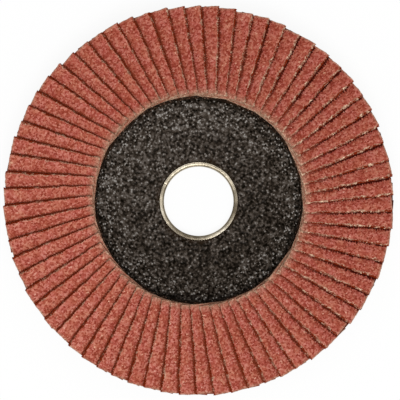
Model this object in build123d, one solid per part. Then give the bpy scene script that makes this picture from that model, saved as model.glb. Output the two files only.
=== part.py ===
from build123d import *
import os
from math import asin, atan2, cos, degrees, hypot, pi, radians, sin, sqrt, tan

# A flap disc for an angle grinder, lying on the back of its hub with the abrasive side up.
# Sizes are in millimetres and angles in degrees. The origin is the centre of the arbor hole in
# the plane of the hub's back, and +Z points to the abrasive side. Clockwise is as seen from there.

# Whole disc
disc_radius = 62.5  # to the outer corners of the flaps' free edges

# Centre ring: a sheet-metal eyelet that lines the arbor hole
bore_radius = 11.115
ring_sheet = 0.4
ring_bend_radius = 0.45  # outside, where the sleeve turns into its flanges
front_flange_radius = 12.5
front_flange_sink = 0.15  # how deep it is pressed into the hub's floor
front_edge_round = 0.15
back_flange_radius = 14.5  # pressed in until it is flush with the hub's back
ring_clearance = 0.05

# Backing plate: glass cloth and resin pressed as one piece
hub_thickness = 2.4
hub_floor_radius = 22.0  # where the flat hub ends and the wall starts to rise
wall_run = 8.0  # how far the wall reaches outwards
wall_rise = 5.1  # from the hub's floor to the crest
flange_thickness = 2.0
flange_fall = 6.5  # the flange drops outwards by this angle
hub_bend_radius = 3.0
crest_bend_radius = 4.0
rim_round = 0.6

# Adhesive: the bead that holds the tails of the flaps
bead_height = 1.6
bead_margin = 0.4  # how far it shows inside the flaps
bead_setback = 1.0  # from the rim of the flange
bead_batter = 0.6  # the bead's sides lean in by this much

# Flaps: rectangles of coated cloth
flap_count = 70
flap_width = 16.0  # from the glued tail to the free edge
flap_thickness = 0.9
flap_setback = 2.8  # from the crest of the wall to the inner end of the tails
flap_overhang = 4.0  # past the rim of the flange
free_edge_offset = 5.3  # the free edge passes the disc's axis at this distance
nest_clearance = 0.08  # between neighbours where they lie closest, at the inner end
tail_lift = 0.4  # glue under each tail
flaps_per_node = 2  # neighbours that share one file

# Stations that follow from the sizes above
fall = radians(flange_fall)
front_flange_foot = hub_thickness - front_flange_sink
crest_radius = hub_floor_radius + wall_run
crest_height = hub_thickness + wall_rise
flange_radius = disc_radius - flap_overhang
tail_reach = crest_radius + flap_setback
bead_inner_radius = tail_reach - bead_margin
bead_outer_radius = flange_radius - bead_setback


def flange_top(radius):
    """Height of the flange's upper face at this distance from the axis."""
    return crest_height - (radius - crest_radius) * tan(fall)


def turned(points, radii):
    """Solid turned round Z from a closed outline of (radius, height) points, with its corner radii."""
    outline = FilletPolyline(*points, radius=radii, close=True)
    return revolve(Plane.XZ * make_face(outline), Axis.Z).solid()


def backing_plate():
    """Flat hub, rising wall and falling flange, with a seat for the centre ring."""
    wall_slope = atan2(wall_rise, wall_run)
    half_turn = (wall_slope + fall) / 2
    lean = (wall_slope - fall) / 2
    mitre = flange_thickness / cos(half_turn)
    seat_radius = bore_radius + ring_sheet + ring_clearance
    back_recess_radius = back_flange_radius + ring_clearance
    front_recess_radius = front_flange_radius + ring_clearance
    hub_back_radius = hub_floor_radius + hub_thickness * tan(wall_slope / 2)
    rim_top = flange_top(flange_radius)
    rim_bottom = rim_top - flange_thickness / cos(fall)
    points = [
        (seat_radius, ring_sheet),
        (back_recess_radius, ring_sheet),
        (back_recess_radius, 0),
        (hub_back_radius, 0),
        (crest_radius + mitre * sin(lean), crest_height - mitre * cos(lean)),
        (flange_radius, rim_bottom),
        (flange_radius, rim_top),
        (crest_radius, crest_height),
        (hub_floor_radius, hub_thickness),
        (front_recess_radius, hub_thickness),
        (front_recess_radius, front_flange_foot),
        (seat_radius, front_flange_foot),
    ]
    outer_hub_bend = hub_bend_radius + hub_thickness
    inner_crest_bend = crest_bend_radius - flange_thickness
    radii = [0, 0, 0, outer_hub_bend, inner_crest_bend, rim_round, rim_round]
    radii += [crest_bend_radius, hub_bend_radius, 0, 0, 0]
    return turned(points, radii)


def centre_ring():
    """Sleeve through the hub with a wide flange flush with its back and a narrow one on its floor."""
    front = front_flange_foot + ring_sheet
    points = [
        (bore_radius, 0),
        (back_flange_radius, 0),
        (back_flange_radius, ring_sheet),
        (bore_radius + ring_sheet, ring_sheet),
        (bore_radius + ring_sheet, front_flange_foot),
        (front_flange_radius, front_flange_foot),
        (front_flange_radius, front),
        (bore_radius, front),
    ]
    return turned(points, [ring_bend_radius, 0, 0, 0, 0, 0, front_edge_round, ring_bend_radius])


def flap_tilt():
    """Tilt at which each flap just clears the next one at the inner end, where they crowd.

    Turning a tilted, falling sheet by one pitch lifts it by pitch * (x tan(tilt) + y tan(fall)) at a
    point x out and y clockwise. The lift, taken square to the sheet, has to be one thickness and
    the clearance at the tail's inner corner, where it is least.
    """
    pitch = 2 * pi / flap_count
    tail_fall = (flap_width - free_edge_offset) * tan(fall)
    step = (flap_thickness + nest_clearance) / pitch
    return degrees(asin(step / hypot(tail_reach, tail_fall)) + atan2(tail_fall, tail_reach))


def first_flap():
    """The flap whose length lies along +X, tail in the adhesive and free edge on the clockwise side."""
    turn = Rot(0, flange_fall, 0) * Rot(-flap_tilt(), 0, 0)
    tail = (turn * Pos(0, flap_width, 0)).position
    free_edge = (turn * Pos(0, 0, flap_thickness)).position
    start_y = -free_edge_offset - free_edge.Y
    tail_corner_radius = hypot(tail_reach, start_y + tail.Y)
    start_x = tail_reach - tail.X
    start_z = flange_top(tail_corner_radius) + tail_lift - tail.Z
    outer_x = sqrt(disc_radius**2 - free_edge_offset**2)
    length = (outer_x - start_x - free_edge.X) / cos(fall)
    sheet = Box(length, flap_width, flap_thickness, align=(Align.MIN, Align.MIN, Align.MIN))
    return (Pos(start_x, start_y, start_z) * turn * sheet).solid()


def flap_ring():
    """All flaps, each turned clockwise from the one before by one pitch."""
    flap = first_flap()
    return [Rot(0, 0, -360 * index / flap_count) * flap for index in range(flap_count)]


def adhesive_ring(flaps):
    """Bead on the flange, with a slot pressed into it by the tail of each flap."""
    inner_foot = flange_top(bead_inner_radius)
    outer_foot = flange_top(bead_outer_radius)
    points = [
        (bead_inner_radius, inner_foot),
        (bead_outer_radius, outer_foot),
        (bead_outer_radius - bead_batter, outer_foot + bead_height),
        (bead_inner_radius + bead_batter, inner_foot + bead_height),
    ]
    bead = turned(points, 0)
    return (bead - flaps).solid()


def write(name, solids):
    """Write one node, which holds one or more separate solids."""
    export_step(Compound(label=name, children=solids), f"parts/{name}.step")


os.makedirs("parts", exist_ok=True)
flaps = flap_ring()
write("backing_plate", [backing_plate()])
write("centre_ring", [centre_ring()])
write("adhesive_ring", [adhesive_ring(flaps)])
for number, first in enumerate(range(0, flap_count, flaps_per_node), start=1):
    write(f"flaps_{number:02d}", flaps[first : first + flaps_per_node])
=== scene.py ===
import bpy
import numpy as np
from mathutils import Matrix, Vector


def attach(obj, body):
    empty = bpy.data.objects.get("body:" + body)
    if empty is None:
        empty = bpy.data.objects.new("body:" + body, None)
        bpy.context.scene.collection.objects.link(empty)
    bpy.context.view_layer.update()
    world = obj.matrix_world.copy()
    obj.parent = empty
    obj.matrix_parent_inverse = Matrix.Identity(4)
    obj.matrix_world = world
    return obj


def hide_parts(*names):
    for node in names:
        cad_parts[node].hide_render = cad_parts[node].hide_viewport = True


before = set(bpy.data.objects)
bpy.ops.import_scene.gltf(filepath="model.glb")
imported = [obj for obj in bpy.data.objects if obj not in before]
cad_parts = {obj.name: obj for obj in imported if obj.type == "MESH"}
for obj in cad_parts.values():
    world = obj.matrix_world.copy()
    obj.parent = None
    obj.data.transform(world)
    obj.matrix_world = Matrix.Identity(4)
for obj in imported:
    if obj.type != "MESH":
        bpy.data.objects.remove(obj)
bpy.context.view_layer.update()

# Backing plate
# Glass cloth soaked in black resin and pressed hot into one plate: a flat hub, a wall that rises
# from it and a flange that falls outwards. The cloth shows through as small knobs and pale specks,
# which are partly painted glints.
MM = 0.001
TURN = 2 * np.pi

bore_radius = 11.115
ring_sheet = 0.4
ring_clearance = 0.05
front_flange_radius = 12.5
front_flange_sink = 0.15
back_flange_radius = 14.5

hub_thickness = 2.4
hub_floor_radius = 22.0
wall_run = 8.0
wall_rise = 5.1
flange_thickness = 2.0
flange_fall = np.radians(6.5)
flange_radius = 58.5
hub_bend_radius = 3.0
crest_bend_radius = 4.0
rim_round = 0.6

plate_segments = 620
hidden_radius = 34.0  # the flaps hide the plate's front beyond this radius
front_step = 0.3  # between the rings of the mesh where the front is open to view
back_step = 0.9
hidden_step = 4.0
cloth_turn = np.radians(36)  # how far the cloth's threads are turned from the X axis
cloth_pitch = 0.62
row_pitch = 1.43  # between the thicker threads, which show as faint rows
knob_depth = 0.2
flap_foot_shade_from = 32.3  # where the front begins to be painted darker, as shade at the foot of the flaps
stained_to = 13.8  # rust and grease from the arbor reach out to about this radius
sheen_clock = np.radians(352)  # clockwise from +Y, the side of the front raised a little and painted paler as a sheen

# resin colours: the blackest also paints shade in hollows and pits, the palest also glints
black_resin_and_shade = (0.0032, 0.0022, 0.0010, 1)
resin_dark = (0.0125, 0.0090, 0.0062, 1)
resin_brown = (0.038, 0.028, 0.020, 1)
glass_dull = (0.112, 0.094, 0.080, 1)
glass_and_glint_pale = (0.285, 0.270, 0.250, 1)
rust_brown = (0.026, 0.014, 0.006, 1)

crest_radius = hub_floor_radius + wall_run
crest_height = hub_thickness + wall_rise
front_flange_foot = hub_thickness - front_flange_sink


def flange_top(radius):
    """Height of the flange's upper face: it falls evenly from the crest outwards."""
    return crest_height - (radius - crest_radius) * np.tan(flange_fall)


def rounded_outline(corners, radii, steps):
    """Closed outline through corners, each rounded by its radius, as evenly spaced points.

    An arc touches both runs of its corner at radius * tan(half the turn) from it, and its centre
    lies square to the first run there. steps holds the spacing on the run that follows each corner.
    """
    corners = np.array(corners, float)
    ahead = np.roll(corners, -1, axis=0) - corners
    ahead /= np.linalg.norm(ahead, axis=1)[:, None]
    came = np.roll(ahead, 1, axis=0)
    swing = np.arctan2(came[:, 0] * ahead[:, 1] - came[:, 1] * ahead[:, 0], (came * ahead).sum(1))
    reach = np.array(radii) * np.tan(np.abs(swing) / 2)
    points = []
    for k, corner in enumerate(corners):
        start = corner - came[k] * reach[k]
        side = np.sign(swing[k]) * np.array([-came[k][1], came[k][0]])
        length = radii[k] * abs(swing[k])
        spacing = min(steps[k], steps[k - 1], max(radii[k] / 3, 0.05))
        turned = np.linspace(0, abs(swing[k]), int(np.ceil(length / spacing)) + 1)[:, None]
        points.append(start + radii[k] * (np.sin(turned) * came[k] + (1 - np.cos(turned)) * side))
        if radii[k] == 0:
            points[-1] = points[-1][:1]
        last = points[-1][-1]
        after = (k + 1) % len(corners)
        run = corners[after] - came[after] * reach[after] - last
        count = int(np.ceil(np.linalg.norm(run) / steps[k]))
        points.append(last + run * np.arange(1, count)[:, None] / max(count, 1))
    return np.concatenate(points)


def turned_mesh(name, outline, segments, relief, sharp_over):
    """Mesh swept by turning a closed outline of (radius, height) points round Z, in millimetres.

    relief is a function of x, y, z and the outline's inward direction, as grids of segments by
    points. It returns how far each point moves inwards, and a share from 0 to 1 that the attribute
    tone keeps for the material. Edges that turn by more than sharp_over degrees look sharp.
    """
    along = np.roll(outline, -1, axis=0) - np.roll(outline, 1, axis=0)
    inward = np.stack([-along[:, 1], along[:, 0]], axis=1)
    inward /= np.linalg.norm(inward, axis=1)[:, None]
    angle = np.arange(segments)[:, None] * TURN / segments
    radius, height = np.broadcast_arrays(outline[:, 0], outline[:, 1])
    x, y = np.cos(angle) * radius, np.sin(angle) * radius
    z = np.broadcast_to(height, x.shape)
    sunk, tone = relief(x, y, z, inward)
    radius = radius + sunk * inward[:, 0]
    z = z + sunk * inward[:, 1]
    points = np.stack([np.cos(angle) * radius, np.sin(angle) * radius, z], axis=-1)
    number = np.arange(x.size).reshape(x.shape)
    nearer, further = number, np.roll(number, -1, axis=0)
    faces = np.stack([nearer, further, np.roll(further, -1, axis=1), np.roll(nearer, -1, axis=1)], -1)
    mesh = bpy.data.meshes.new(name)
    mesh.from_pydata((points.reshape(-1, 3) * MM).tolist(), [], faces.reshape(-1, 4).tolist())
    mesh.shade_smooth()
    mesh.attributes.new("tone", "FLOAT", "POINT").data.foreach_set("value", tone.ravel())
    mesh.set_sharp_from_angle(angle=np.radians(sharp_over))
    return mesh


def faded(value, low, high):
    """Smooth step from 0 at low to 1 at high."""
    share = np.clip((value - low) / (high - low), 0, 1)
    return share * share * (3 - 2 * share)


def along_threads(x, y):
    """How far a point lies along each of the two directions of the cloth's threads."""
    along = x * np.cos(cloth_turn) + y * np.sin(cloth_turn)
    aside = y * np.cos(cloth_turn) - x * np.sin(cloth_turn)
    return along, aside


def crossings(x, y, pitch, seed, size=256):
    """Random heights from 0 to 1 at the crossings of threads this far apart, joined by smooth steps."""
    heights = np.random.default_rng(seed).random((size, size))
    along, aside = along_threads(x, y)
    along, aside = along / pitch, aside / pitch
    first, second = np.floor(along).astype(int), np.floor(aside).astype(int)
    ahead, over = faded(along - first, 0, 1), faded(aside - second, 0, 1)
    near = heights[first % size, second % size] * (1 - ahead)
    near += heights[(first + 1) % size, second % size] * ahead
    far = heights[first % size, (second + 1) % size] * (1 - ahead)
    far += heights[(first + 1) % size, (second + 1) % size] * ahead
    return near * (1 - over) + far * over


def thread_rows(x, y, drift):
    """Cosine waves from -1 to 1 along both directions of the cloth, the first one the stronger. The
    drift, from 0 to 1, moves them by up to half a wave, so that the rows aren't straight."""
    along, aside = along_threads(x, y)
    phase = drift * TURN / 2
    return 0.65 * np.cos(TURN * along / row_pitch + phase) + 0.35 * np.cos(TURN * aside / row_pitch - phase)


def plate_relief(x, y, z, inward):
    """Knobs of resin over the crossing threads. A knob's height is the sum of random heights at the
    crossings, at patches of about 2 and of 7 crossings, and of faint rows, and each point is sunk by
    what its height lacks of 1, times the depth of the knobs. The back was pressed on a coarser
    cloth, so it has only the patches and stronger rows. The plate is smooth where the ring seats and
    at its rim. One side of the front is a little higher, and paler by a painted sheen. The tone is
    the height, which the material paints as highlight on the knobs and shade between them, less
    next to the flaps, where it is painted darker as shade at their foot."""
    radius = np.hypot(x, y)
    fine = crossings(x, y, cloth_pitch, seed=4)
    broad = crossings(x, y, cloth_pitch * 2.3, seed=5)
    patch = crossings(x, y, cloth_pitch * 7, seed=6)
    woven = thread_rows(x, y, patch)
    front = inward[:, 1] < -0.5
    raised_side_sheen = 0.08 * np.cos(np.arctan2(x, y) - sheen_clock)
    height = 0.5 + 1.2 * (fine - 0.5) + 0.2 * (broad - 0.5) + 0.15 * (patch - 0.5) + raised_side_sheen
    height = np.where(front, height + 0.13 * woven, 0.55 + 0.4 * (broad - 0.5) + 0.25 * woven)
    height = np.clip(height, 0, 1)
    seat = faded(radius, front_flange_radius + 0.05, front_flange_radius + 0.45)
    edge = faded(flange_radius - radius, 0.2, 1.2)
    open_side = front * 1.0 + (inward[:, 1] > 0.5) * 0.6
    # painted shade at the foot of the flaps, with a ragged edge
    flap_foot_shade = front * faded(radius + 1.2 * (broad - 0.5), flap_foot_shade_from - 0.5, flap_foot_shade_from + 0.5)
    tone = (height * seat + 0.4 * (1 - seat)) * edge * (1 - 0.6 * flap_foot_shade) * (open_side > 0)
    return knob_depth * (1 - height * seat) * open_side * edge, tone


def material(name):
    """New material with its node tree, and its Principled shader."""
    made = bpy.data.materials.new(name)
    made.use_nodes = True
    return made, made.node_tree, made.node_tree.nodes["Principled BSDF"]


def feed(tree, target, inputs):
    """Fill a node's inputs: each is linked if it is given a socket, or else set to the value."""
    for key, value in inputs.items():
        if isinstance(value, bpy.types.NodeSocket):
            tree.links.new(value, target.inputs[key])
        else:
            target.inputs[key].default_value = value


def node(tree, kind, inputs=None, **settings):
    """New shader node with these settings and inputs."""
    made = tree.nodes.new("ShaderNode" + kind)
    for key, value in settings.items():
        setattr(made, key, value)
    feed(tree, made, inputs or {})
    return made


def maths(tree, operation, *values):
    """Result of one operation on values or sockets."""
    return node(tree, "Math", dict(enumerate(values)), operation=operation).outputs[0]


def noise(tree, place, scale, detail=3, roughness=0.5):
    """Random field of about 0.3 to 0.7, with about this many waves to the metre."""
    inputs = {"Vector": place, "Scale": scale, "Detail": detail, "Roughness": roughness}
    return node(tree, "TexNoise", inputs).outputs["Fac"]


def ramp(tree, factor, *stops):
    """Colour ramp over factor, with stops of (place, colour)."""
    made = node(tree, "ValToRGB", {"Fac": factor})
    marks = made.color_ramp.elements
    while len(marks) < len(stops):
        marks.new(1)
    for mark, (place, colour) in zip(marks, stops):
        mark.position, mark.color = place, colour
    return made.outputs["Color"]


def distance_from_axis(tree, place):
    """Distance of the shaded point from the disc's axis, in millimetres."""
    flat = node(tree, "VectorMath", {0: place, 1: (1 / MM, 1 / MM, 0)}, operation="MULTIPLY")
    return node(tree, "VectorMath", {0: flat.outputs[0]}, operation="LENGTH").outputs["Value"]


def span(tree, value, low, high, first=0, last=1):
    """First where the value is low, last where it is high, an even run between, and level beyond."""
    inputs = {"Value": value, "From Min": low, "From Max": high, "To Min": first, "To Max": last}
    return node(tree, "MapRange", inputs).outputs["Result"]


def blended(tree, share, first, second, kind="MIX"):
    """Two colours mixed by a share."""
    return node(tree, "Mix", {0: share, 6: first, 7: second}, data_type="RGBA", blend_type=kind).outputs[2]


def added(tree, value, field, amount):
    """Value plus a field times an amount."""
    return maths(tree, "MULTIPLY_ADD", field, amount, value)


def shifted(tree, value, field, amount):
    """Value moved up and down by a random field round 0.5, to make an even limit ragged."""
    return added(tree, value, maths(tree, "SUBTRACT", field, 0.5), amount)


def dots(tree, place, scale, share):
    """Round dots, 1 at their middle, in this share of the cells of a random pattern."""
    cells = node(tree, "TexVoronoi", {"Vector": place, "Scale": scale})
    pick = node(tree, "SeparateColor", {"Color": cells.outputs["Color"]}).outputs[0]
    picked = maths(tree, "LESS_THAN", pick, share)
    return maths(tree, "MULTIPLY", span(tree, cells.outputs["Distance"], 0.5, 0.1), picked)


def bumped(tree, height, strength, distance, invert=False):
    """Normal of a surface that a height of 1 would raise by this distance in metres."""
    inputs = {"Strength": strength, "Distance": distance, "Height": height}
    return node(tree, "Bump", inputs, invert=invert).outputs["Normal"]


def pressed_resin():
    """Black resin over glass cloth. Its round knobs and highest threads show as pale specks, with
    black pits between them. The knobs' tops are painted paler and the hollows darker, as painted
    highlight and shade; the pale specks are glass threads and painted glints, and the black pits are
    painted shade in small hollows. Specks and pits are strongest at the crest, where the cloth was
    stretched. Next to the flaps the resin is painted darker, as shade at their foot. Rust and grease
    have stained the hub round the ring."""
    made, tree, shader = material("pressed_resin")
    place = node(tree, "TexCoord").outputs["Object"]
    radius = distance_from_axis(tree, place)
    relief = node(tree, "Attribute", attribute_name="tone").outputs["Fac"]
    threads = noise(tree, place, 1500, roughness=0.7)
    from_crest = maths(tree, "ABSOLUTE", maths(tree, "SUBTRACT", radius, crest_radius + 1.2))
    strength = span(tree, from_crest, 0, 7, 2.3, 0.4)
    crown = 0.203  # plain resin, to which each field adds its share
    for field, amount in (
        (threads, 0.55),
        (dots(tree, place, 1150, 0.75), 0.22),
        # the knob's height, painted as highlight on the tops and as shade between them
        (relief, 0.35),
        # pale specks where the cloth was stretched: glass threads and painted glints
        (maths(tree, "MULTIPLY", dots(tree, place, 1350, 0.35), strength), 0.27),
        # black pits, painted shade in small hollows
        (maths(tree, "MULTIPLY", dots(tree, place, 1100, 0.3), strength), -0.26),
        (span(tree, radius, hub_floor_radius - 1, hub_floor_radius + 2), 0.04),
        # darker from the crest out to the flaps, as painted shade at their foot
        (span(tree, radius, crest_radius - 0.5, crest_radius + 1.5), -0.05),
    ):
        crown = added(tree, crown, field, amount)
    colour = ramp(tree, crown, (0.45, black_resin_and_shade), (0.59, resin_dark), (0.72, resin_brown),
                  (0.88, glass_dull), (1.0, glass_and_glint_pale))
    ragged_radius = shifted(tree, radius, noise(tree, place, 200), 6.0)
    rust = span(tree, ragged_radius, stained_to, front_flange_radius)
    feed(tree, shader, {
        "Base Color": blended(tree, rust, colour, blended(tree, 0.6, colour, rust_brown)),
        "Roughness": span(tree, threads, 0.35, 0.65, 0.42, 0.28),
        "Specular IOR Level": span(tree, crown, 0.45, 0.7, 0.005, 0.06),
        "Normal": bumped(tree, crown, 0.7, 0.00018),
    })
    return made


def dressed(name, mesh, slot, materials, *nodes):
    """Object for a mesh that rides with the disc and stands for CAD nodes. The slot is not used."""
    piece = bpy.data.objects.new(name, mesh)
    bpy.context.scene.collection.objects.link(piece)
    for finish in materials:
        mesh.materials.append(finish)
    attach(piece, "root")
    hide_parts(*nodes)
    return piece


wall_slope = np.arctan2(wall_rise, wall_run)
half_turn = (wall_slope + flange_fall) / 2
lean = (wall_slope - flange_fall) / 2
mitre = flange_thickness / np.cos(half_turn)
seat_radius = bore_radius + ring_sheet + ring_clearance
rim_top = flange_top(flange_radius)
hub_back_radius = hub_floor_radius + hub_thickness * np.tan(wall_slope / 2)
plate_corners = [
    (seat_radius, ring_sheet),
    (back_flange_radius + ring_clearance, ring_sheet),
    (back_flange_radius + ring_clearance, 0),
    (hub_back_radius, 0),
    (crest_radius + mitre * np.sin(lean), crest_height - mitre * np.cos(lean)),
    (flange_radius, rim_top - flange_thickness / np.cos(flange_fall)),
    (flange_radius, rim_top),
    (hidden_radius, flange_top(hidden_radius)),
    (crest_radius, crest_height),
    (hub_floor_radius, hub_thickness),
    (front_flange_radius + ring_clearance, hub_thickness),
    (front_flange_radius + ring_clearance, front_flange_foot),
    (seat_radius, front_flange_foot),
]
plate_radii = [0, 0, 0, hub_bend_radius + hub_thickness, crest_bend_radius - flange_thickness]
plate_radii += [rim_round, rim_round, 0, crest_bend_radius, hub_bend_radius, 0, 0, 0]
plate_steps = [1, 1, back_step, back_step, back_step, 0.5, hidden_step]
plate_steps += [front_step, front_step, front_step, 0.2, 0.5, 1]
plate_outline = rounded_outline(plate_corners, plate_radii, plate_steps)
plate_mesh = turned_mesh("pressed_plate", plate_outline, plate_segments, plate_relief, sharp_over=55)
dressed("pressed_plate", plate_mesh, "plate_resin", [pressed_resin()], "backing_plate")

# Centre ring
# Thin brass-plated steel eyelet that lines the arbor hole. A strip is bent round until its ends
# meet, pushed through the hub and flanged over on both sides, which leaves fine marks all round.
ring_bend_radius = 0.45
front_edge_round = 0.08
ring_segments = 480
ring_step = 0.12
dent_depth = 0.03
crease_depth = 0.05
joint_depth = 0.09
joint_width = 0.12
joint_angle = np.radians(131)  # where the strip's ends meet, anticlockwise from the X axis
# painted highlight round the flange: at these clocks the brass is painted bright or dull as though it
# reflects the light
highlight_clock = [7, 37, 67, 97, 127, 157, 187, 217, 247, 277, 307, 337]  # degrees clockwise from +Y
highlight_share = [0.52, 0.27, 0.52, 0.31, -0.11, 0.64, 0.41, 0, 0.29, 0.58, 0.23, 0.53]
bend_shade_olive = (0.130, 0.105, 0.062, 1)
ring_unlit_dull = (0.155, 0.124, 0.086, 1)
ring_brass = (0.520, 0.455, 0.345, 1)
ring_highlight_pale = (0.900, 0.850, 0.750, 1)


def ring_relief(x, y, z, inward):
    """Shallow dents left by the flanging tool, as a product of three cosines of the angle, a round
    crease where the flange leaves the bend, and a groove where the strip's ends meet. The crease
    and the groove are bell curves in section. The tone is a painted highlight, read from a table by
    clock: high where the flange is painted bright as though it reflects the light, low where it is
    painted dull."""
    angle = np.arctan2(y, x)
    radius = np.hypot(x, y)
    dents = 0.5 + 0.5 * np.cos(9 * angle + 1) * np.cos(4 * angle + 2.2) * np.cos(23 * angle)
    away = (angle - joint_angle + np.pi) % TURN - np.pi
    groove = np.exp(-((away * bore_radius / joint_width) ** 2))
    crease = np.exp(-(((radius - bore_radius - ring_bend_radius - 0.05) / 0.1) ** 2))
    raised = faded(z, hub_thickness, hub_thickness + 0.1)
    painted_highlight = np.interp(np.degrees(np.arctan2(x, y)), highlight_clock, highlight_share, period=360)
    return (dent_depth * dents + joint_depth * groove + crease_depth * crease) * raised, painted_highlight


def flanged_brass():
    """Pale brass, with painted shade in the bend and painted highlights round the flange, bright or dull by
    clock.
    """
    made, tree, shader = material("flanged_brass")
    place = node(tree, "TexCoord").outputs["Object"]
    radius = distance_from_axis(tree, place)
    painted_highlight = node(tree, "Attribute", attribute_name="tone").outputs["Fac"]
    stain = noise(tree, place, 300, detail=4, roughness=0.6)
    bright = shifted(tree, painted_highlight, stain, 0.6)
    tint = ramp(tree, bright, (0.0, ring_unlit_dull), (0.5, ring_brass), (1.0, ring_highlight_pale))
    # painted shade in the bend that leads down into the bore
    outside = span(tree, shifted(tree, radius, stain, 0.25), bore_radius + 0.62, bore_radius + 0.42)
    inside = span(tree, radius, bore_radius + 0.08, bore_radius + 0.22)
    bend_shade = maths(tree, "MINIMUM", outside, inside)
    marks = node(tree, "TexWave", {"Vector": place, "Scale": 900, "Distortion": 1.5, "Detail": 2},
                 wave_type="RINGS", rings_direction="Z")
    feed(tree, shader, {
        "Base Color": blended(tree, bend_shade, tint, blended(tree, 0.85, tint, bend_shade_olive)),
        "Metallic": 1,
        "Roughness": span(tree, stain, 0.3, 0.7, 0.24, 0.42),
        "Normal": bumped(tree, marks.outputs["Fac"], 0.25, 0.00003),
    })
    return made


ring_front = front_flange_foot + ring_sheet
ring_corners = [
    (bore_radius, 0),
    (back_flange_radius, 0),
    (back_flange_radius, ring_sheet),
    (bore_radius + ring_sheet, ring_sheet),
    (bore_radius + ring_sheet, front_flange_foot),
    (front_flange_radius, front_flange_foot),
    (front_flange_radius, ring_front),
    (bore_radius, ring_front),
]
ring_radii = [ring_bend_radius, 0, 0, 0, 0, 0, front_edge_round, ring_bend_radius]
ring_outline = rounded_outline(ring_corners, ring_radii, [0.5, 0.5, 1, 1, 0.5, 0.5, ring_step, 0.4])
ring_mesh = turned_mesh("flanged_ring", ring_outline, ring_segments, ring_relief, sharp_over=40)
dressed("flanged_ring", ring_mesh, "ring_metal", [flanged_brass()], "centre_ring")

# Adhesive
# Bead of dark resin glue laid on the flange while soft. The tails of the flaps were pushed into
# it, so it swells up unevenly between them and shows at the inner and outer ends.
bead_height = 1.6
bead_inner_radius = 32.4
bead_outer_radius = 57.5
bead_batter = 0.6
bead_segments = 420
lump_depth = 0.35
glue_dark = (0.004, 0.003, 0.002, 1)
glue_amber = (0.028, 0.012, 0.005, 1)
glue_dust = (0.190, 0.110, 0.072, 1)


def ripple(x, y, shortest, longest, seed, waves=48):
    """Even random relief, mostly between -1 and 1: the sum of plane waves with random headings and
    phases, and with lengths spread between the two limits."""
    draw = np.random.default_rng(seed)
    total = np.zeros_like(x)
    for length, heading, phase in zip(
        draw.uniform(shortest, longest, waves), draw.uniform(0, TURN, waves), draw.uniform(0, TURN, waves)
    ):
        total += np.cos(TURN / length * (x * np.cos(heading) + y * np.sin(heading)) + phase)
    return total / np.sqrt(waves)


def glue_relief(x, y, z, inward):
    """Soft lumps with smaller ones on them, as the sum of two ripples. They are everywhere but on
    the foot of the bead, which lies on the flange."""
    lumps = ripple(x, y, 2.5, 6, seed=11) * 0.6 + ripple(x, y, 1.0, 2.2, seed=12) * 0.4
    lumps = 0.5 + 0.5 * np.clip(lumps, -1, 1)
    return lump_depth * lumps * (inward[:, 1] < 0.3), lumps


def cured_glue():
    """Dark resin glue, a little glossy, full of small bubbles and peppered with brown grinding dust."""
    made, tree, shader = material("cured_glue")
    place = node(tree, "TexCoord").outputs["Object"]
    tint = ramp(tree, noise(tree, place, 300), (0.35, glue_dark), (0.7, glue_amber))
    bubbles = node(tree, "TexVoronoi", {"Vector": place, "Scale": 1400}).outputs["Distance"]
    feed(tree, shader, {
        "Base Color": blended(tree, dots(tree, place, 1500, 0.4), tint, glue_dust),
        "Roughness": 0.45,
        "Specular IOR Level": 0.12,
        "Normal": bumped(tree, bubbles, 0.5, 0.0001),
    })
    return made


inner_foot, outer_foot = flange_top(bead_inner_radius), flange_top(bead_outer_radius)
bead_corners = [
    (bead_inner_radius, inner_foot),
    (bead_outer_radius, outer_foot),
    (bead_outer_radius - bead_batter, outer_foot + bead_height),
    (bead_inner_radius + bead_batter, inner_foot + bead_height),
]
bead_outline = rounded_outline(bead_corners, [0, 0, 0.4, 0.3], [3, 0.5, 1.2, 0.5])
bead_mesh = turned_mesh("glue_bead", bead_outline, bead_segments, glue_relief, sharp_over=60)
dressed("glue_bead", bead_mesh, "adhesive", [cured_glue()], "adhesive_ring")

# Flaps
# Seventy rectangles of cloth coated with brown-red grit, cut from a strip and stood in the glue one
# behind another, so that each lies on the next one clockwise. The cuts are frayed and show the cloth.
flap_count = 70
flaps_per_piece = 2
disc_radius = 62.5
flap_width = 16.0
flap_thickness = 0.9
flap_setback = 2.8
free_edge_offset = 5.3
nest_clearance = 0.08
tail_lift = 0.4

flap_rows = 124  # along a flap
open_columns = 22  # across the strip that its neighbour leaves open
covered_columns = 4
covered_strip = 0.5  # under the neighbour's edge, where the mesh is still fine
cut_round = 0.08  # how far a cut end is rounded over
grain_height = 0.12
frayed_depth = 0.22  # the cloth's cut edges are ragged by this much
waved_depth = 0.25  # and wavy by this much
thread_pitch = 0.85  # between the ends of the threads along a cut
thread_depth = 0.3  # and the gaps between them reach in by up to this much
chipped_least = 0.12  # the coat is chipped away behind the cut by at least this
chipped_depth = 0.6  # and by up to about this much more
fibre_depth = 0.1  # loose fibres on a cut
back_dirt = 0.37  # share of dust on the back and the tail
droop = 0.5  # how far the outer corner of a free edge bends down at most
felted_length = 1.5  # at the inner ends the frayed threads reach down to the neighbour's coat
felted_depth = 0.32  # by this much at the free edge, and by half of it at the tail
margin_wander = 0.45  # how far the worn margin and that of the painted shade under the neighbour move in and out along a flap
short_least = 0.05  # a flap sits further in than its CAD solid by this
short_most = 0.6  # and by up to this much more
turned_most = np.radians(0.16)  # how far a flap is turned aside at most

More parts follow.
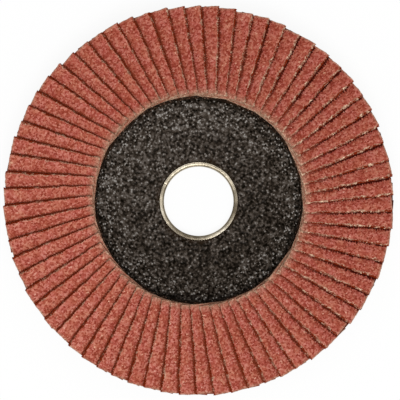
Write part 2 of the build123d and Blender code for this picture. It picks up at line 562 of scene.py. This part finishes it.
nook_fades_to = 32.0  # the painted shade under the neighbour's edge thins out from the next radius to this
nook_full_from = 45.0
worn_to = 38.0  # the coat's edge is worn most inside this radius
lamp_facing_clock = np.radians(97)  # clockwise from +Y, where the free edges face the lamp: bare threads painted paler, nooks darker
lamp_facing_reach = 42.0  # this painted light and shade grows from the axis to this distance towards that side
lit_coat_clock = np.radians(247)  # clockwise from +Y, the side towards which the coat is painted paler, as lit
lit_coat_reach = 60.0  # the painted light grows from this far on the other side to this far on it

tail_reach = crest_radius + flap_setback
tail_fall = (flap_width - free_edge_offset) * np.tan(flange_fall)
flap_step = (flap_thickness + nest_clearance) * flap_count / TURN
flap_tilt = np.arcsin(flap_step / np.hypot(tail_reach, tail_fall)) + np.arctan2(tail_fall, tail_reach)


def turn_matrix(axis, angle):
    """Rotation matrix about the X, Y or Z axis: the two other axes turn towards each other."""
    first, second = {"X": (1, 2), "Y": (2, 0), "Z": (0, 1)}[axis]
    made = np.eye(3)
    made[[first, second], [first, second]] = np.cos(angle)
    made[first, second] = -np.sin(angle)
    made[second, first] = np.sin(angle)
    return made


flap_turn = turn_matrix("Y", flange_fall) @ turn_matrix("X", -flap_tilt)
tail_corner = flap_turn @ (0, flap_width, 0)
free_corner = flap_turn @ (0, 0, flap_thickness)
start_y = -free_edge_offset - free_corner[1]
flap_start = np.array([
    tail_reach - tail_corner[0],
    start_y,
    flange_top(np.hypot(tail_reach, start_y + tail_corner[1])) + tail_lift - tail_corner[2],
])
flap_reach = np.sqrt(disc_radius**2 - free_edge_offset**2)
flap_length = (flap_reach - flap_start[0] - free_corner[0]) / np.cos(flange_fall)


def softened(field):
    """Field averaged with its neighbours along both directions, and spread to 0..1 again."""
    for direction in (0, 1):
        field = (field + np.roll(field, 1, axis=direction)) / 2
    return np.clip((field - 0.5) * 1.7 + 0.5, 0, 1)


def wander(draw, count, spacing):
    """Wavy line between 0 and 1: random heights every few steps, joined by smooth curves."""
    knots = draw.random(count // spacing + 3)
    place = np.arange(count) / spacing
    share = faded(place % 1, 0, 1)
    low = place.astype(int)
    return knots[low] * (1 - share) + knots[low + 1] * share


def foot_of_neighbour(along):
    """Length and width, on a flap, under this point of the free edge of the neighbour that lies on it.

    The neighbour is the same sheet turned back by one pitch, and its point is dropped along Z.
    """
    foot = turn_matrix("Z", TURN / flap_count) @ (flap_start + flap_turn @ (along, 0, 0))
    coat = flap_start + flap_turn @ (0, 0, flap_thickness)
    return np.linalg.solve(flap_turn[:2, :2], (foot - coat)[:2])


foot_inner, foot_outer = foot_of_neighbour(0), foot_of_neighbour(flap_length)


def flap_sheet(draw):
    """Points, faces, both end faces, coated sides, margins, and dust and painted shade of one flat flap.

    A closed line runs round the sheet's section: across the coated side in fine steps up to the
    neighbour and coarse ones under it, down the tail, back across the underside and up the free
    edge. It is carried along the flap, and a flat face closes each end.

    The cloth's edge is the sum of random waves and of the ends of its threads, a cosine whose
    phase wanders. The coat's edge lies behind it by a random wave, squared so that a few chips go
    deep. Grains, chips and frayed cuts only take away from the plain rectangle. Only the loose
    threads at the inner end add to it: there the dust has felted them, and they fill the slit to
    the neighbour that lies below.

    The margins are distances in millimetres from the edge of the coat, from the neighbour's edge
    and from the nearer end, the outer one counted three times, because less is worn off there.
    The dust and shade is the share of the free edge painted dark red: dust there and the painted
    shade of the slit below it, most of it low on the edge.
    """
    along = np.concatenate([[0], np.linspace(cut_round, flap_length - cut_round, flap_rows), [flap_length]])
    share = along / flap_length
    rows = len(along)
    full = np.ones((rows, 1))
    open_width = np.interp(along, [foot_inner[0], foot_outer[0]], [foot_inner[1], foot_outer[1]])[:, None]
    threads = 0.5 + 0.5 * np.cos(TURN * along / thread_pitch + 5 * wander(draw, rows, 12))
    cloth_edge = frayed_depth * wander(draw, rows, 5) + waved_depth * wander(draw, rows, 19)
    cloth_edge = (cloth_edge + thread_depth * threads * wander(draw, rows, 7))[:, None]
    chipped = chipped_least + chipped_depth * (wander(draw, rows, 4) ** 2 + 0.4 * wander(draw, rows, 14))
    coat_edge = cloth_edge + (chipped * (0.25 + 0.75 * share))[:, None]

    fine = np.linspace(0, 1, open_columns + 1)
    coarse = np.linspace(0, 1, covered_columns + 1)[1:]
    fine_end = open_width + covered_strip
    top = np.concatenate([coat_edge + (fine_end - coat_edge) * fine,
                          fine_end + (flap_width - fine_end) * coarse], axis=1)
    tail_and_back = full * flap_width * np.array([1, 1, 2 / 3, 1 / 3, 0.03])  # shares of the width
    cut_levels = np.array([0, 0.35, 0.65, 0.88])  # up the free edge, as shares of the thickness
    cut_lean = np.array([0, 0.08, 0.3, 0.7])  # from the cloth's edge to the coat's at those levels
    cut = cloth_edge + (coat_edge - cloth_edge) * cut_lean
    across = np.concatenate([top, tail_and_back, cut], axis=1)
    level = np.concatenate([np.ones_like(top), full * (0.5, 0, 0, 0, 0), full * cut_levels], axis=1)
    columns = across.shape[1]
    column = np.arange(columns)
    on_top = column <= open_columns + covered_columns
    on_cut = column >= columns - len(cut_levels)
    dust_and_shade = np.where(on_top, 0, back_dirt) * full
    kept = 0.1 + 0.6 * wander(draw, rows, 9) + 0.3 * threads + 0.35 * draw.random() + 0.2 * share
    kept = np.clip(kept, 0, 1)
    # dark red low on the cut: dust and the painted shade of the slit below it
    stain = np.array([1, 1, 0.5, 0.12]) + np.array([0, 0, 0.5, 0.8]) * kept[:, None]  # bottom to top
    dust_and_shade[:, on_cut] = np.minimum(1, stain)
    dust_and_shade[:, on_cut] *= faded(along, 0.6, 1.8)[:, None]

    grains = softened(draw.random((rows, columns))) ** 0.8
    height = np.where(on_top, 1 - grains, 0) * grain_height
    across = across + np.where(on_cut | (column == 0), draw.random((rows, columns)) * fibre_depth, 0)
    ragged = np.stack([wander(draw, columns, 4), wander(draw, columns, 4)]) * frayed_depth
    ragged += draw.random((2, columns)) * 0.12
    length = along[:, None] + np.zeros((1, columns))
    length += np.where(share[:, None] < 0.5, ragged[0] * (1 - share[:, None] * 2), 0)
    length -= np.where(share[:, None] >= 0.5, ragged[1] * (share[:, None] * 2 - 1), 0)
    bent = 1 - faded(across, 0, foot_outer[1] * 0.8)
    sag = droop * draw.uniform(0.2, 1) * share[:, None] * bent**2
    felted = felted_depth * (1 - 0.5 * across / flap_width)
    felted = felted * (1 - faded(along, 0.3, felted_length))[:, None]
    level = level * flap_thickness - height - sag - felted * (level == 0)
    middle = flap_thickness / 2 - sag
    for end in (0, -1):
        level[end] = middle[end] + (level[end] - middle[end]) * (1 - cut_round * 2)
    nearer_end = np.minimum(length - ragged[0], 3 * (flap_length - ragged[1] - length))
    from_edge = across - coat_edge + margin_wander * (kept[:, None] - 0.5)
    from_neighbour = open_width - across + margin_wander * (threads[:, None] - 0.5)
    margins = np.stack([from_edge, from_neighbour, nearer_end], axis=-1)

    number = np.arange(rows * columns).reshape(rows, columns)
    ahead = np.roll(number, -1, axis=1)
    sides = np.stack([number[:-1], number[1:], ahead[1:], ahead[:-1]], axis=-1).reshape(-1, 4)
    coated = np.tile((on_top | (column == columns - 1)) & np.roll(on_top, -1), rows - 1)
    points = np.stack([length, across, level], axis=-1).reshape(-1, 3)
    return points, sides, number[0], number[-1][::-1], coated, margins.reshape(-1, 3), dust_and_shade.ravel()


def flap_pair(first, draw):
    """Mesh of neighbouring flaps, each turned clockwise from the one before by one pitch."""
    points, faces, finishes, margins, dust_and_shade = [], [], [], [], []
    for index in range(first, first + flaps_per_piece):
        sheet, sides, inner_end, outer_end, coated, apart, stain = flap_sheet(draw)
        short = short_least + short_most * draw.random() ** 2
        swing = draw.uniform(-turned_most, turned_most)
        placed = (sheet - (short, 0, 0)) @ flap_turn.T + flap_start
        placed = placed @ turn_matrix("Z", swing - index * TURN / flap_count).T
        base = sum(len(part) for part in points)
        faces += (sides + base).tolist() + [(inner_end + base).tolist(), (outer_end + base).tolist()]
        finishes.append(np.concatenate([np.where(coated, 0, 1), [1, 1]]))
        points.append(placed)
        margins.append(apart)
        dust_and_shade.append(stain)
    mesh = bpy.data.meshes.new(f"coated_flaps_{first // flaps_per_piece + 1:02d}")
    mesh.from_pydata((np.concatenate(points) * MM).tolist(), [], faces)
    mesh.polygons.foreach_set("material_index", np.concatenate(finishes).astype(np.int32))
    places = mesh.attributes.new("margins", "FLOAT_VECTOR", "POINT")
    places.data.foreach_set("vector", np.concatenate(margins).ravel())
    mesh.attributes.new("dust_and_shade", "FLOAT", "POINT").data.foreach_set("value", np.concatenate(dust_and_shade))
    mesh.shade_flat()
    return mesh


grit_dark = (0.250, 0.037, 0.020, 1)
grit_red = (0.395, 0.090, 0.058, 1)
grit_pale = (0.535, 0.193, 0.138, 1)
grit_cream = (0.660, 0.330, 0.230, 1)
pinker = (1.01, 0.96, 1.05, 1)  # this and the next five are multiplied with the colour of the grains
browner = (0.99, 1.03, 0.95, 1)
film_thin = (0.94, 0.90, 0.89, 1)
film_thick = (1.05, 1.10, 1.11, 1)
# painted light: the coat redder and darker away from the lit side, paler towards it
coat_away_from_light = (0.965, 0.915, 0.905, 1)
coat_toward_light = (1.035, 1.085, 1.095, 1)
dust_and_shade_red = (0.175, 0.020, 0.005, 1)
nook_shade_dark = (0.060, 0.004, 0.001, 1)
nook_shade_brown = (0.215, 0.037, 0.015, 1)
cloth_shade = (0.190, 0.080, 0.043, 1)
cloth_tan = (0.265, 0.138, 0.086, 1)
cloth_pale = (0.455, 0.295, 0.203, 1)
cloth_cream = (0.860, 0.640, 0.450, 1)


def toward(tree, place, clock, start, end):
    """Share from 0 to 1 between two distances from the axis towards the side at this clock."""
    way = (np.sin(clock), np.cos(clock), 0)
    ahead = node(tree, "VectorMath", {0: place, 1: way}, operation="DOT_PRODUCT").outputs["Value"]
    return span(tree, ahead, start * MM, end * MM)


def lamp_facing_side(tree, place):
    """Share from 0 at the axis and behind it to 1 where the free edges face the lamp, for painted light and
    shade.
    """
    return toward(tree, place, lamp_facing_clock, 0, lamp_facing_reach)


def dashes(tree, place):
    """Short stretches where the threads are bare: a few all round, more towards the side where the free
    edges face the lamp, as painted highlight.
    """
    stretches = span(tree, noise(tree, place, 800, roughness=0.6), 0.45, 0.58)
    return maths(tree, "MULTIPLY", stretches, span(tree, lamp_facing_side(tree, place), 0, 1, 0.25, 1.1))


def cloth_colour(tree, place, bare_and_lit):
    """Tan cotton threads, from shaded to pale, and cream where they are bare, more so towards the
    lamp-facing side, as painted highlight.
    """
    threads = added(tree, noise(tree, place, 1500, roughness=0.65), bare_and_lit, 0.14)
    return ramp(tree, threads, (0.3, cloth_shade), (0.44, cloth_tan), (0.6, cloth_pale), (0.75, cloth_cream))


def coated_grit():
    """Crushed brown-red grains in resin, with a few dark holes where a grain has come out, painted with
    the colour of shade. The coat is painted paler towards one side, as lit there. It is worn off to
    the cloth at the flap's edges, most of all in short dashes, more towards the side where the free
    edges face the lamp, as painted highlight. The nook under the neighbour's edge is painted dark as
    shade, darkest towards that side."""
    made, tree, shader = material("coated_grit")
    place = node(tree, "TexCoord").outputs["Object"]
    radius = distance_from_axis(tree, place)
    cells = node(tree, "TexVoronoi", {"Vector": place, "Scale": 1950})
    shade = node(tree, "SeparateColor", {"Color": cells.outputs["Color"]}).outputs[0]
    coat = ramp(tree, shade, (0.05, grit_dark), (0.5, grit_red), (0.990, grit_pale), (1, grit_cream))
    dust = noise(tree, place, 480, detail=4, roughness=0.65)
    size_coat = noise(tree, place, 280, roughness=0.6)
    lit_coat_side = toward(tree, place, lit_coat_clock, -lit_coat_reach, lit_coat_reach)
    for tint in (
        ramp(tree, dust, (0.35, film_thin), (0.65, film_thick)),
        ramp(tree, size_coat, (0.36, browner), (0.64, pinker)),
        ramp(tree, lit_coat_side, (0, coat_away_from_light), (1, coat_toward_light)),
    ):
        coat = blended(tree, 1.0, coat, tint, "MULTIPLY")
    # a few dark holes where a grain has come out, painted with the colour of shade
    coat = blended(tree, dots(tree, place, 800, 0.04), coat, dust_and_shade_red)

    margins = node(tree, "Attribute", attribute_name="margins").outputs["Vector"]
    from_edge, from_neighbour, from_end = node(tree, "SeparateXYZ", {"Vector": margins}).outputs
    chips = noise(tree, place, 800, roughness=0.65)
    bare_and_lit = dashes(tree, place)
    worn_and_lit = added(tree, span(tree, radius, worn_to, disc_radius, 0.75, 0.45), bare_and_lit, 0.65)
    edge = span(tree, shifted(tree, from_edge, chips, 1.2), 0.32, 0.0)
    end = span(tree, shifted(tree, from_end, chips, 2.4), 0.75, 0.05)
    thin = span(tree, shifted(tree, from_end, chips, 4.0), 2.4, 0.4)
    bare_and_lit_cloth = maths(tree, "MULTIPLY", edge, worn_and_lit)
    bare_and_lit_cloth = maths(tree, "MAXIMUM", bare_and_lit_cloth, maths(tree, "MULTIPLY", end, 0.85))
    bare_and_lit_cloth = maths(tree, "MAXIMUM", bare_and_lit_cloth, maths(tree, "MULTIPLY", thin, 0.45))
    colour = blended(tree, bare_and_lit_cloth, coat, cloth_colour(tree, place, bare_and_lit))
    # painted shade in the nook under the neighbour's edge, darkest towards the lamp-facing side
    nook_shade = span(tree, shifted(tree, from_neighbour, chips, 2.4), 0.36, 0.06)
    nook_shade = maths(tree, "MULTIPLY", nook_shade, span(tree, radius, nook_fades_to, nook_full_from))
    nook_shade_colour = blended(tree, lamp_facing_side(tree, place), nook_shade_brown, nook_shade_dark)
    feed(tree, shader, {
        "Base Color": blended(tree, nook_shade, colour, nook_shade_colour),
        "Roughness": 0.72,
        "Specular IOR Level": 0.06,
        "Normal": bumped(tree, cells.outputs["Distance"], 0.55, 0.00012, invert=True),
    })
    return made


def cut_cloth():
    """Edge and back of the cloth: tan threads, matt, with dark red low on the free edge, dust there and
    painted shade of the slit under it, and paler where the threads are bare, more so towards the side
    where the free edges face the lamp, as painted highlight."""
    made, tree, shader = material("cut_cloth")
    place = node(tree, "TexCoord").outputs["Object"]
    fibres = noise(tree, place, 2200)
    bare_and_lit = dashes(tree, place)
    dust_and_shade = node(tree, "Attribute", attribute_name="dust_and_shade").outputs["Fac"]
    dust_and_shade = shifted(tree, shifted(tree, dust_and_shade, fibres, 1.2), noise(tree, place, 550), 2.6)
    dust_and_shade = span(tree, added(tree, dust_and_shade, bare_and_lit, -0.45), 0.15, 0.85)
    feed(tree, shader, {
        "Base Color": blended(tree, dust_and_shade, cloth_colour(tree, place, bare_and_lit), dust_and_shade_red),
        "Roughness": 0.85,
        "Specular IOR Level": 0,
        "Normal": bumped(tree, fibres, 0.6, 0.0001),
    })
    return made


flap_finishes = [coated_grit(), cut_cloth()]
flap_draw = np.random.default_rng(70)
for first in range(0, flap_count, flaps_per_piece):
    number = first // flaps_per_piece + 1
    pair = flap_pair(first, flap_draw)
    dressed(f"coated_flaps_{number:02d}", pair, "coated_cloth", flap_finishes, f"flaps_{number:02d}")

# Floor, light and camera
# A white table, one large soft lamp high over the lower side of the picture, and a pale room that
# is plain white at the level of the table and darker overhead. The camera looks nearly straight down.
floor_half = 1.5
floor_glow = 0.91  # share of plain white in what the camera sees of the table

room_low = 1.0  # the room's level up to 0.15 of the way from the horizon to overhead
room_high = 0.53  # and from 0.45 of the way on

lamp_size = 1.8
lamp_power = 58
lamp_distance = 3.0
lamp_height = np.radians(65)  # above the horizon
lamp_clock = np.radians(196)  # clockwise from +Y

sensor_width = 36
lens = 368.4
camera_distance = 1.3
camera_way = Vector((-0.0188, -0.0464, 1)).normalized()  # from the disc to the camera
camera_aim = Vector((0.00035, -0.00021, 0.0105))


def white_table():
    """White to the camera and in reflections, with a faint share of real shading for the shadow."""
    made, tree, shader = material("white_table")
    path = node(tree, "LightPath").outputs
    seen = maths(tree, "MAXIMUM", path["Is Camera Ray"], path["Is Glossy Ray"])
    seen = maths(tree, "MAXIMUM", seen, path["Is Transmission Ray"])
    feed(tree, shader, {"Base Color": (0.9, 0.9, 0.9, 1), "Roughness": 0.9})
    glow = node(tree, "Emission", {"Color": (1, 1, 1, 1), "Strength": 1.0}).outputs[0]
    share = maths(tree, "MULTIPLY", seen, floor_glow)
    blend = node(tree, "MixShader", {0: share, 1: shader.outputs[0], 2: glow})
    feed(tree, tree.nodes["Material Output"], {"Surface": blend.outputs[0]})
    return made


floor_mesh = bpy.data.meshes.new("table_top")
corners = [(-floor_half, -floor_half, 0), (floor_half, -floor_half, 0), (floor_half, floor_half, 0)]
floor_mesh.from_pydata(corners + [(-floor_half, floor_half, 0)], [], [(0, 1, 2, 3)])
floor_mesh.materials.append(white_table())
table_top = bpy.data.objects.new("table_top", floor_mesh)
bpy.context.scene.collection.objects.link(table_top)

world = bpy.data.worlds.new("pale_room")
bpy.context.scene.world = world
world.use_nodes = True
heading = node(world.node_tree, "TexCoord").outputs["Generated"]
climb = node(world.node_tree, "SeparateXYZ", {"Vector": heading}).outputs["Z"]
feed(world.node_tree, world.node_tree.nodes["Background"], {
    "Color": (1, 1, 1, 1),
    "Strength": span(world.node_tree, climb, 0.15, 0.45, room_low, room_high),
})

lamp_data = bpy.data.lights.new("soft_lamp", "AREA")
lamp_data.shape = "DISK"
lamp_data.size = lamp_size
lamp_data.energy = lamp_power
lamp = bpy.data.objects.new("soft_lamp", lamp_data)
lamp.location = lamp_distance * Vector((
    np.sin(lamp_clock) * np.cos(lamp_height), np.cos(lamp_clock) * np.cos(lamp_height), np.sin(lamp_height)
))
lamp.rotation_euler = lamp.location.to_track_quat("Z", "Y").to_euler()
bpy.context.scene.collection.objects.link(lamp)

camera_data = bpy.data.cameras.new("camera")
camera_data.sensor_width = sensor_width
camera_data.lens = lens
camera = bpy.data.objects.new("camera", camera_data)
camera.location = camera_aim + camera_distance * camera_way
camera.rotation_euler = (camera.location - camera_aim).to_track_quat("Z", "Y").to_euler()
bpy.context.scene.collection.objects.link(camera)
bpy.context.scene.camera = camera
bpy.context.scene.view_settings.view_transform = "Standard"
